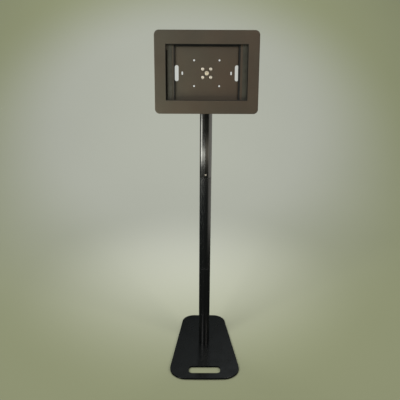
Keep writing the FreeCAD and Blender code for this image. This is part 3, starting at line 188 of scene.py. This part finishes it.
def powder_coat(name, colour, roughness, peel, edge_tone, warm_patch_and_light_colour=None, ior=1.5):
    """Fine orange peel, a slightly uneven tone, and edges made smoother and paler.

    A second, warmer colour shows in patches of random tone, and more of it towards the right as
    painted warm light on that side.
    """
    material, tree, shader = new_material(name, IOR=ior)
    place = object_place(tree)
    if warm_patch_and_light_colour:
        # Painted light: the warm colour grows towards the right, as warm light on that side would
        # tint it; the patches are random tone
        across = add(tree, "ShaderNodeSeparateXYZ", {"Vector": place}).outputs["X"]
        patches = spread(tree, noise(tree, place, 9, 2), -0.3, 0.3)
        warm_patch_and_light_share = maths(tree, "ADD", patches, spread(tree, across, 0.1, 0.75, -0.12, 0.15))
        colour = blend_colours(tree, warm_patch_and_light_share, colour, warm_patch_and_light_colour)
    broad = spread(tree, noise(tree, place, 11, 4), 0.9, 1.1)
    speck = spread(tree, noise(tree, place, 2400, 2), 0.9, 1.1)
    near_edge = edge_amount(tree, 0.9 * MM, 2.2)
    coated = shade(tree, colour, maths(tree, "MULTIPLY", broad, speck))
    edge_paled = blend_colours(tree, near_edge, coated, edge_tone)
    tree.links.new(edge_paled, shader.inputs["Base Color"])
    smudged = spread(tree, noise(tree, place, 26, 5, 0.6), roughness - 0.05, roughness + 0.06)
    polished = maths(tree, "MULTIPLY", near_edge, 0.1)
    tree.links.new(maths(tree, "SUBTRACT", smudged, polished), shader.inputs["Roughness"])
    peeled = noise(tree, place, 620, 3)
    tree.links.new(bump(tree, peeled, peel, 0.06 * MM, 0.5 * MM), shader.inputs["Normal"])
    return material


def gloss_paint(name, colour):
    """Smooth wet paint on a rolled tube: faint waves along it and a few dust specks."""
    material, tree, shader = new_material(name, IOR=1.8)
    place = object_place(tree)
    stretched = add(tree, "ShaderNodeMapping", {"Vector": place, "Scale": (1, 1, 0.18)})
    waves = noise(tree, stretched.outputs["Vector"], 42, 3)
    specks = noise(tree, place, 1500, 2)
    tone = spread(tree, noise(tree, place, 18, 3), 0.85, 1.15)
    tree.links.new(shade(tree, colour, tone), shader.inputs["Base Color"])
    tree.links.new(spread(tree, noise(tree, place, 30, 4), 0.07, 0.14), shader.inputs["Roughness"])
    height = maths(tree, "ADD", waves, maths(tree, "MULTIPLY", specks, 0.015))
    tree.links.new(bump(tree, height, 0.3, 0.2 * MM, 0.4 * MM), shader.inputs["Normal"])
    return material


def metal(name, colour, roughness, depth=0.2, dull=0.12, metallic=1.0):
    """Plated or oxidised steel: tumbled grain, dull patches and softened edges."""
    material, tree, shader = new_material(name, Metallic=metallic)
    place = object_place(tree)
    patches = noise(tree, place, 160, 4, 0.6)
    tree.links.new(shade(tree, colour, spread(tree, patches, 1 - dull, 1 + dull / 2)),
                   shader.inputs["Base Color"])
    tree.links.new(spread(tree, noise(tree, place, 240, 2), roughness - 0.02, roughness + 0.05),
                   shader.inputs["Roughness"])
    tree.links.new(bump(tree, noise(tree, place, 900, 4), depth, 0.03 * MM, 0.25 * MM),
                   shader.inputs["Normal"])
    return material


def rubber(name, colour):
    """Dull moulded rubber with a pale bloom in patches."""
    material, tree, shader = new_material(name, Roughness=0.8)
    place = object_place(tree)
    bloom = noise(tree, place, 140, 5, 0.6)
    tree.links.new(blend_colours(tree, spread(tree, bloom, 0.0, 0.5), colour,
                                 [channel * 2.2 for channel in colour]),
                   shader.inputs["Base Color"])
    tree.links.new(bump(tree, noise(tree, place, 2600, 2), 0.35, 0.05 * MM),
                   shader.inputs["Normal"])
    return material


def foam(name, colour):
    """Fine closed-cell foam: pin-hole cells and a slightly uneven tone."""
    material, tree, shader = new_material(name, Roughness=0.92)
    place = object_place(tree)
    cells = add(tree, "ShaderNodeTexVoronoi", {"Vector": place, "Scale": 1300}).outputs["Distance"]
    mottle = spread(tree, noise(tree, place, 60, 5, 0.65), 0.8, 1.25)
    pores = spread(tree, cells, 0.75, 1.1, 0.0, 0.6)
    tree.links.new(shade(tree, colour, maths(tree, "MULTIPLY", mottle, pores)),
                   shader.inputs["Base Color"])
    tree.links.new(bump(tree, cells, 0.5, 0.12 * MM), shader.inputs["Normal"])
    return material


def moulded(name, colour):
    """Smooth moulded plastic, a little uneven in tone and gloss."""
    material, tree, shader = new_material(name, IOR=1.52)
    place = object_place(tree)
    tone = spread(tree, noise(tree, place, 90, 3), 0.92, 1.06)
    tree.links.new(shade(tree, colour, tone), shader.inputs["Base Color"])
    tree.links.new(spread(tree, noise(tree, place, 300, 3), 0.38, 0.5), shader.inputs["Roughness"])
    tree.links.new(bump(tree, noise(tree, place, 1800, 2), 0.2, 0.03 * MM, 0.2 * MM),
                   shader.inputs["Normal"])
    return material


HEAD = powder_coat("head_powder_coat", (0.041, 0.035, 0.022), 0.6, 0.16,
                   (0.075, 0.064, 0.045), warm_patch_and_light_colour=(0.046, 0.0295, 0.0165))
BLACK = powder_coat("black_powder_coat", (0.0045, 0.005, 0.005), 0.22, 0.15,
                    (0.02, 0.02, 0.019), ior=1.6)
PLATE = powder_coat("plate_powder_coat", (0.003, 0.0037, 0.0038), 0.24, 0.12,
                    (0.012, 0.013, 0.013))
GLOSS = gloss_paint("gloss_black_paint", (0.0042, 0.0042, 0.0035))
ZINC = metal("zinc_plate", (0.8, 0.78, 0.72), 0.36)
SCREW_ZINC = metal("bright_zinc_plate", (0.95, 0.89, 0.77), 0.5, dull=0.06)
YELLOW_ZINC = metal("yellow_zinc_plate", (0.97, 0.9, 0.74), 0.6, dull=0.06)
OXIDE = metal("black_oxide", (0.06, 0.058, 0.055), 0.42, metallic=0.7)
CHROME = metal("polished_chrome", (0.72, 0.72, 0.71), 0.12, depth=0.05, dull=0.05)
RUBBER = rubber("black_rubber", (0.012, 0.012, 0.012))
FOAM = foam("grey_foam", (0.036, 0.0345, 0.0255))
# Black foam for the window's gasket, and the colour of the painted shade strips beside the rails
# and over the tray
BLACK_FOAM_AND_SHADE = foam("black_foam_and_painted_shade", (0.008, 0.0078, 0.0068))
NYLON = moulded("natural_nylon", (0.58, 0.56, 0.5))

NODES_OF = (
    (PLATE, ("base_plate",)),
    (GLOSS, ("column_upper",)),
    (BLACK, ("column_lower", "column_middle", "neck", "tilt_yoke")),
    (HEAD, ("rear_tray", "left_rail", "right_rail", "top_ledge", "bottom_ledge", "front_bezel",
            "bezel_catch")),
    (SCREW_ZINC, ("tray_screws", "column_screw")),
    (YELLOW_ZINC, ("axle_bolt",)),
    (ZINC, ("foot_plug", "foot_bolt", "coupler_lower", "coupler_upper", "neck_screws",
            "tilt_bolt", "tilt_nut", "tilt_washers", "spring_washer", "axle_nut", "stop_pin",
            "swivel_disc", "lock_nut", "hinge_pin", "lock_cam", "cam_screw")),
    (OXIDE, ("rail_rivets", "hinge_tray_leaf", "hinge_rivets", "hinge_bezel_leaf")),
    (CHROME, ("lock_body", "lock_plug")),
    (NYLON, ("tilt_friction_discs", "swivel_friction_disc")),
    (RUBBER, ("rubber_feet",)),
    (FOAM, ("left_rail_pad", "right_rail_pad")),
    (BLACK_FOAM_AND_SHADE, ("window_gasket",)),
)


def dress_nodes():
    for material, names in NODES_OF:
        for name in names:
            slots = nodes[name].data.materials
            slots.clear()
            slots.append(material)


# Pieces

def piece_from(name, mesh, material, place=None, smooth_angle=35):
    """An object made of the mesh, moved from a frame of its own, smooth below the angle."""
    if place is not None:
        bmesh.ops.transform(mesh, matrix=place, verts=mesh.verts)
    bmesh.ops.recalc_face_normals(mesh, faces=mesh.faces)
    data = bpy.data.meshes.new(name)
    mesh.to_mesh(data)
    mesh.free()
    data.materials.append(material)
    data.shade_smooth()
    data.set_sharp_from_angle(angle=math.radians(smooth_angle))
    piece = bpy.data.objects.new(name, data)
    bpy.context.scene.collection.objects.link(piece)
    return piece


def rounded_outline(half_width, half_height, radius, steps=5):
    """Corner points of a rectangle with round corners, about the origin."""
    points = []
    for turn, (side, rise) in enumerate(((1, 1), (-1, 1), (-1, -1), (1, -1))):
        for step in range(steps + 1):
            angle = math.pi / 2 * (turn + step / steps)
            points.append((side * (half_width - radius) + radius * math.cos(angle),
                           rise * (half_height - radius) + radius * math.sin(angle)))
    return points


def loop_stack(mesh, loops, ends=True):
    """Faces between closed loops of points, with a face over each end or the ends joined."""
    rings = [[mesh.verts.new(point) for point in loop] for loop in loops]
    pairs = list(zip(rings, rings[1:]))
    if ends:
        mesh.faces.new(list(reversed(rings[0])))
        mesh.faces.new(rings[-1])
    else:
        pairs.append((rings[-1], rings[0]))
    for lower, upper in pairs:
        count = len(lower)
        for step in range(count):
            after = (step + 1) % count
            mesh.faces.new((lower[step], lower[after], upper[after], upper[step]))


# How far in and how high a foam strip's side runs, as shares of its thickness
FOAM_EDGE = ((0.0, 0.0), (0.0, 0.45), (0.06, 0.7), (0.2, 0.88), (0.42, 0.98), (0.8, 1.0))


def add_foam(mesh, centre, half_width, half_height, base, thickness):
    """A cut foam strip: straight sides whose upper edge is pressed round."""
    loops = []
    for share_in, share_up in FOAM_EDGE:
        inset = share_in * thickness
        outline = rounded_outline(half_width - inset, half_height - inset, thickness)
        level = base + share_up * thickness
        loops.append([Vector((centre[0] + across, centre[1] + up, level)) * MM
                      for across, up in outline])
    loop_stack(mesh, loops)


def make_rail_pads():
    for node_name, middle in PAD_MIDDLES:
        mesh = bmesh.new()
        add_foam(mesh, (middle, 0), *PAD_HALF_SIZE, RAIL_TOP, PAD_THICKNESS)
        pad = piece_from(node_name + "_foam", mesh, FOAM, ENCLOSURE)
        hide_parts(node_name)
        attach(pad, "enclosure")


def make_shade_strips_and_tab():
    """Black strips beside the rails and over the tray, put where their shadow lines fall as
    painted shade, and the small tab on the left rail.
    """
    # Painted shade: black strips standing in for the shadow lines along the rails' inner edges and
    # under the window's top edge
    for name, centre, half_width, half_height, base, thickness in (
            ("left_painted_shade_strip", (-96.3, 0), 1.6, 85.5, RAIL_TOP, 0.8),
            ("right_painted_shade_strip", (96.5, 0), 1.4, 85.5, TRAY_FRONT, 5.0),
            ("top_painted_shade_strip", (0, 78.9), 94.6, 5.1, TRAY_FRONT, 3.0)):
        mesh = bmesh.new()
        add_foam(mesh, centre, half_width, half_height, base, thickness)
        strip = piece_from(name, mesh, BLACK_FOAM_AND_SHADE, ENCLOSURE)
        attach(strip, "enclosure")
    mesh = bmesh.new()
    loops = []
    for inset, level in TAB_EDGE:
        half_width, half_height = (half - inset for half in TAB_HALF_SIZE)
        outline = rounded_outline(half_width, half_height, TAB_ROUND)
        loops.append([Vector((across + TAB_MIDDLE[0], up + TAB_MIDDLE[1], level)) * MM
                      for across, up in outline])
    loop_stack(mesh, loops)
    tab = piece_from("left_rail_tab", mesh, HEAD, ENCLOSURE)
    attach(tab, "enclosure")


def make_gasket():
    """Four cut strips behind the window's edge, butted at the corners."""
    mesh = bmesh.new()
    inner_across, inner_up = GASKET_INNER
    half = GASKET_WIDTH / 2
    back = BEZEL_INNER - GASKET_THICKNESS
    for side in (-1, 1):
        add_foam(mesh, (side * (inner_across + half), 0), half, inner_up + GASKET_WIDTH,
                 back, GASKET_THICKNESS)
        add_foam(mesh, (0, side * (inner_up + half)), inner_across - GASKET_JOINT, half,
                 back, GASKET_THICKNESS)
    turned_over = Matrix.Scale(-1, 4, (0, 0, 1))
    kept_in_place = Matrix.Translation((0, 0, (back + BEZEL_INNER) * MM))
    bmesh.ops.transform(mesh, matrix=kept_in_place @ turned_over, verts=mesh.verts)
    gasket = piece_from("window_foam", mesh, BLACK_FOAM_AND_SHADE, ENCLOSURE)
    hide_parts("window_gasket")
    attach(gasket, "bezel")


TURN_STEPS = 48
FOOT_PROFILE = ((0, 0.6), (3.4, 0.6), (4.2, 0.0), (9.4, 0.0), (9.9, 0.12), (10.3, 0.5),
                (10.75, 1.2), (11.0, 1.7), (11.0, 2.0), (0, 2.0))
FOOT_PLACES = ((-83, -144), (83, -144), (-43, 144), (43, 144))


def add_turned(mesh, profile, place):
    """A closed turned form from points of radius and height in millimetres, about Z."""
    rings = []
    for radius, height in profile:
        if radius == 0:
            rings.append([mesh.verts.new(Vector((0, 0, height)) * MM)])
            continue
        ring = []
        for step in range(TURN_STEPS):
            angle = 2 * math.pi * step / TURN_STEPS
            point = Vector((radius * math.cos(angle), radius * math.sin(angle), height))
            ring.append(mesh.verts.new(point * MM))
        rings.append(ring)
    for lower, upper in zip(rings, rings[1:]):
        for step in range(TURN_STEPS):
            after = (step + 1) % TURN_STEPS
            if len(lower) == 1:
                mesh.faces.new((lower[0], upper[after], upper[step]))
            elif len(upper) == 1:
                mesh.faces.new((lower[step], lower[after], upper[0]))
            else:
                mesh.faces.new((lower[step], lower[after], upper[after], upper[step]))
    made = [vertex for ring in rings for vertex in ring]
    bmesh.ops.transform(mesh, matrix=place, verts=made)


def make_feet():
    mesh = bmesh.new()
    for across, along in FOOT_PLACES:
        add_turned(mesh, FOOT_PROFILE, Matrix.Translation(Vector((across, along, 0)) * MM))
    feet = piece_from("moulded_feet", mesh, RUBBER)
    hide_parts("rubber_feet")
    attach(feet, "stand")


HEX_FLATS = 13
HEX_SLOPE = math.tan(math.radians(30))
NUT_FACE = HEX_FLATS / 2 * 0.96
WASHER_FACE = HEX_FLATS / 2 * 0.95
WASHER_FACE_HEIGHT = 0.4
THREAD_RADIUS = 4
THREAD_PITCH = 1.25
THREAD_DEPTH = 0.61 * THREAD_PITCH
THREAD_FADE_ROWS = 6
ROWS_PER_PITCH = 10
SHANK_PAST_SEAT = 2
SHANK_IN_HEAD = 1
BOLT_POINT = 1
MOUTH_WIDER = 0.5
MOUTH_DEEP = 0.6
HEAD_SEAT = 17.2
HEAD_HEIGHT = 5.3
NUT_HEIGHT = 6.5
BOLT_END = 25.7
AXLE_NUT_FRONT = 23.7


def turned_loop(radius, height):
    """A loop round Z, whose radius and height are numbers or functions of the angle."""
    loop = []
    for step in range(TURN_STEPS):
        angle = 2 * math.pi * step / TURN_STEPS
        out = radius(angle) if callable(radius) else radius
        rise = height(angle) if callable(height) else height
        loop.append(Vector((out * math.cos(angle), out * math.sin(angle), rise)) * MM)
    return loop


def hexagon_radius(angle):
    """The distance from the axis to a hexagon's side at an angle."""
    return HEX_FLATS / 2 / math.cos(angle % (math.pi / 3) - math.pi / 6)


def hexagon_end(end, way):
    """Loops where a hexagon's corners are turned off at its end, from its sides to its face."""
    def corner(angle):
        return end - way * (hexagon_radius(angle) - NUT_FACE) * HEX_SLOPE

    return [turned_loop(hexagon_radius, corner), turned_loop(NUT_FACE, end)]


def make_nut(name, node_name, low, high, place):
    """A hexagon nut with both faces chamfered and its thread's mouths bevelled."""
    mesh = bmesh.new()
    mouth = THREAD_RADIUS + MOUTH_WIDER
    loops = list(reversed(hexagon_end(low, -1))) + hexagon_end(high, 1)
    for radius, height in ((mouth, high), (THREAD_RADIUS, high - MOUTH_DEEP),
                           (THREAD_RADIUS, low + MOUTH_DEEP), (mouth, low)):
        loops.append(turned_loop(radius, height))
    loop_stack(mesh, loops, ends=False)
    nut = piece_from(name, mesh, ZINC, place, 25)
    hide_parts(node_name)
    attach(nut, "tilt_group")


def make_tilt_bolt():
    """A hexagon bolt: washer face under the head, plain shank, and a thread cut as a helix."""
    mesh = bmesh.new()
    under_head = -HEAD_SEAT - WASHER_FACE_HEIGHT
    loops = [turned_loop(WASHER_FACE, -HEAD_SEAT), turned_loop(WASHER_FACE, under_head),
             turned_loop(hexagon_radius, under_head)]
    loop_stack(mesh, loops + hexagon_end(-HEAD_SEAT - HEAD_HEIGHT, -1))
    loops = [turned_loop(THREAD_RADIUS, -HEAD_SEAT - SHANK_IN_HEAD)]
    thread_start = HEAD_SEAT + SHANK_PAST_SEAT
    row_rise = THREAD_PITCH / ROWS_PER_PITCH
    rows = math.ceil((BOLT_END - thread_start) / row_rise)
    for row in range(rows + 1):
        height = min(thread_start + row * row_rise, BOLT_END)
        crest = min(THREAD_RADIUS, THREAD_RADIUS + BOLT_END - BOLT_POINT - height)
        depth = THREAD_DEPTH * min(1, row / THREAD_FADE_ROWS)

        def flank(angle):
            phase = (height / THREAD_PITCH - angle / (2 * math.pi)) % 1
            groove = min(1, max(0, 1.15 * (1 - abs(2 * phase - 1)) - 0.1))
            return min(crest, THREAD_RADIUS - depth * groove)

        loops.append(turned_loop(flank, height))
    loop_stack(mesh, loops)
    bolt = piece_from("tilt_bolt_threaded", mesh, ZINC, TILT_AXIS, 25)
    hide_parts("tilt_bolt")
    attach(bolt, "tilt_group")


# Stage and lights

SWEEP_HALF_WIDTH = 4.5
SWEEP_FRONT = -4.0
SWEEP_STEPS = 24
SWEEP_START = 0.9
SWEEP_RADIUS = 3.2
SWEEP_SLOPE = math.radians(55)
SWEEP_TOP = 7.5


def smooth_step(tree, value, low, high):
    """From 0 at low to 1 at high, or the other way round where high is the smaller."""
    rising = high > low
    inputs = {"Value": value, "From Min": min(low, high), "From Max": max(low, high),
              "To Min": 0.0 if rising else 1.0, "To Max": 1.0 if rising else 0.0}
    node = add(tree, "ShaderNodeMapRange", inputs, interpolation_type="SMOOTHSTEP")
    return node.outputs["Result"]


def between(tree, value, low, high, soft):
    """1 between low and high, falling to 0 over the soft distance beyond each."""
    return maths(tree, "MULTIPLY", smooth_step(tree, value, low - soft, low),
                 smooth_step(tree, value, high + soft, high))


def glow(tree, place, centre, scale, soft):
    """1 round a centre, falling smoothly to 0 at a distance of 1 by the scale."""
    shift = [-middle * factor for middle, factor in zip(centre, scale)]
    centred = add(tree, "ShaderNodeMapping", {"Vector": place, "Location": shift, "Scale": scale})
    reach = add(tree, "ShaderNodeVectorMath", {0: centred.outputs["Vector"]}, operation="LENGTH")
    return smooth_step(tree, reach.outputs["Value"], 1.0, 1.0 - soft)


def add_colours(tree, base, colour, factor):
    node = add(tree, "ShaderNodeVectorMath", {0: shade(tree, colour, factor), 1: base},
               operation="ADD")
    return node.outputs["Vector"]


# Each patch of painted reflection: colour, directions in degrees from the front and their
# softness, distances and their softness, and strength
PAINTED_REFLECTION_PATCHES = (
    ((1, 1, 0.9), (-94, -18), 7, (2.17, 2.32), 0.06, 6.2),
    ((1, 1, 0.9), (-104, -80), 10, (2.2, 3.2), 0.25, 4.8),
    ((1, 1, 0.88), (-88, -50), 30, (1.95, 3.4), 0.4, 0.22),
    ((1, 0.97, 0.86), (66, 126), 20, (1.15, 3.6), 0.4, 0.95),
    ((1, 0.92, 0.74), (-5, 60), 14, (2.15, 2.5), 0.15, 0.83),
)


def painted_room_reflection(tree, place):
    """Painted reflection: the room that glossy surfaces show, glowing on the sweep for glossy rays
    only, by direction and distance from the column.

    It paints a bright window's edge to the left, a pale wall to the right and a brown floor in
    front, and the rest dark, as the column and the base plate show them.
    """
    from_column = add(tree, "ShaderNodeVectorMath", {0: place, 1: (0, COLUMN_Y, 0)},
                      operation="SUBTRACT").outputs["Vector"]
    parts = add(tree, "ShaderNodeSeparateXYZ", {"Vector": from_column}).outputs
    ahead = maths(tree, "MULTIPLY", parts["Y"], -1.0)
    turn = maths(tree, "MULTIPLY", maths(tree, "ARCTAN2", parts["X"], ahead), 180 / math.pi)
    level = add(tree, "ShaderNodeVectorMath", {0: from_column, 1: (1, 1, 0)}, operation="MULTIPLY")
    reach = add(tree, "ShaderNodeVectorMath", {0: level.outputs["Vector"]},
                operation="LENGTH").outputs["Value"]

    def patch(turns, turn_soft, reaches, reach_soft, strength):
        area = maths(tree, "MULTIPLY", between(tree, turn, *turns, turn_soft),
                     between(tree, reach, *reaches, reach_soft))
        return maths(tree, "MULTIPLY", area, strength)

    painted_reflection = add(tree, "ShaderNodeCombineXYZ", {0: 0.022, 1: 0.025, 2: 0.022}).outputs["Vector"]
    for colour, *area in PAINTED_REFLECTION_PATCHES:
        painted_reflection = add_colours(tree, painted_reflection, colour, patch(*area))
    # Painted reflection: a pale patch high on the backdrop, brighter towards the right, for the
    # base plate to show
    high = maths(tree, "MULTIPLY", smooth_step(tree, parts["Z"], 3.0, 5.6),
                 spread(tree, parts["X"], 0.26, 0.62, -0.36, 0.62))
    return add_colours(tree, painted_reflection, (0.92, 0.98, 1), high)


def sweep_material():
    """A pale olive surface with painted pools of light in its middle, and a painted room
    reflection for glossy rays.
    """
    material, tree, shader = new_material("studio_sweep", Roughness=0.6, Specular_IOR_Level=0.2,
                                          Emission_Strength=1.0)
    material.cycles.emission_sampling = "NONE"
    place = object_place(tree)
    # Painted light: paler pools in the sweep's colour, wide in the middle, low near the stand and
    # palest behind the head
    painted_wide_light = glow(tree, place, (-0.127, 2.054, 0.394), (0.605, 0.407, 0.953), 0.5)
    colour = blend_colours(tree, painted_wide_light, (0.292, 0.312, 0.193), (0.4, 0.415, 0.366))
    low = glow(tree, place, (-0.062, 0.455, -0.149), (1.142, 1.111, 2.884), 1.0)
    colour = add_colours(tree, colour, (0.3, 0.299, 0.288), low)
    painted_pale_light = glow(tree, place, (0.046, 2.646, 0.519), (2.3, 2.0, 2.0), 0.8)
    colour = add_colours(tree, colour, (0.17, 0.17, 0.22), painted_pale_light)
    uneven = spread(tree, noise(tree, place, 0.8, 2), 0.98, 1.02)
    colour = shade(tree, colour, uneven)
    # Painted reflection: for glossy rays the sweep's colour is black and it glows with the painted
    # room instead
    glossy = add(tree, "ShaderNodeLightPath").outputs["Is Glossy Ray"]
    tree.links.new(blend_colours(tree, glossy, colour, (0, 0, 0)), shader.inputs["Base Color"])
    tree.links.new(shade(tree, painted_room_reflection(tree, place), glossy),
                   shader.inputs["Emission Color"])
    return material


def make_stage():
    """A floor that sweeps up into a leaning backdrop, with painted light making it paler in the
    middle.
    """
    profile = [(SWEEP_FRONT, 0.0), (SWEEP_START, 0.0)]
    for step in range(1, SWEEP_STEPS + 1):
        angle = SWEEP_SLOPE * step / SWEEP_STEPS
        profile.append((SWEEP_START + SWEEP_RADIUS * math.sin(angle),
                        SWEEP_RADIUS * (1 - math.cos(angle))))
    along, height = profile[-1]
    profile.append((along + (SWEEP_TOP - height) / math.tan(SWEEP_SLOPE), SWEEP_TOP))
    mesh = bmesh.new()
    rows = [[mesh.verts.new((side * SWEEP_HALF_WIDTH, along, height)) for side in (-1, 1)]
            for along, height in profile]
    for lower, upper in zip(rows, rows[1:]):
        mesh.faces.new((lower[0], lower[1], upper[1], upper[0]))
    sweep = piece_from("studio_sweep", mesh, sweep_material())


def area_light(name, place, target, width, height, power, colour=(1, 1, 1)):
    light = bpy.data.lights.new(name, "AREA")
    light.shape = "RECTANGLE"
    light.size = width
    light.size_y = height
    light.energy = power
    light.color = colour
    lamp = bpy.data.objects.new(name, light)
    bpy.context.scene.collection.objects.link(lamp)
    lamp.location = place
    lamp.rotation_euler = (Vector(target) - Vector(place)).to_track_quat("-Z", "Y").to_euler()
    lamp.visible_camera = False
    return lamp


def make_lights():
    head_height = (0, 0, 0.9)
    area_light("key", (-1.7, -2.3, 2.7), head_height, 1.5, 1.5, 67, (1, 0.99, 0.96))
    area_light("fill", (2.1, -1.9, 2.5), head_height, 1.4, 1.4, 38, (1, 0.95, 0.88))
    side_glow = area_light("side_glow", (-0.38, -0.3, 0.68), (-0.15, 0, 0.95), 0.25, 0.25, 4)
    side_glow.visible_glossy = False
    backdrop_glow = area_light("backdrop_light", (-0.1, 0.9, 2.9), (-0.15, 2.9, 0.5), 1.6, 0.7, 60)
    backdrop_glow.visible_glossy = False
    world = bpy.data.worlds.new("studio_world")
    world.use_nodes = True
    tree = world.node_tree
    background = tree.nodes["Background"]
    background.inputs["Color"].default_value = (0.83, 0.86, 0.8, 1)
    background.inputs["Strength"].default_value = 0.21
    bpy.context.scene.world = world


make_camera()
dress_nodes()
make_rail_pads()
make_shade_strips_and_tab()
make_gasket()
make_feet()
make_tilt_bolt()
make_nut("tilt_nut_chamfered", "tilt_nut", HEAD_SEAT, HEAD_SEAT + NUT_HEIGHT, TILT_AXIS)
make_nut("axle_nut_chamfered", "axle_nut", AXLE_NUT_FRONT - NUT_HEIGHT, AXLE_NUT_FRONT, PANEL)
make_stage()
make_lights()

view = bpy.context.scene.view_settings
view.view_transform = "Standard"
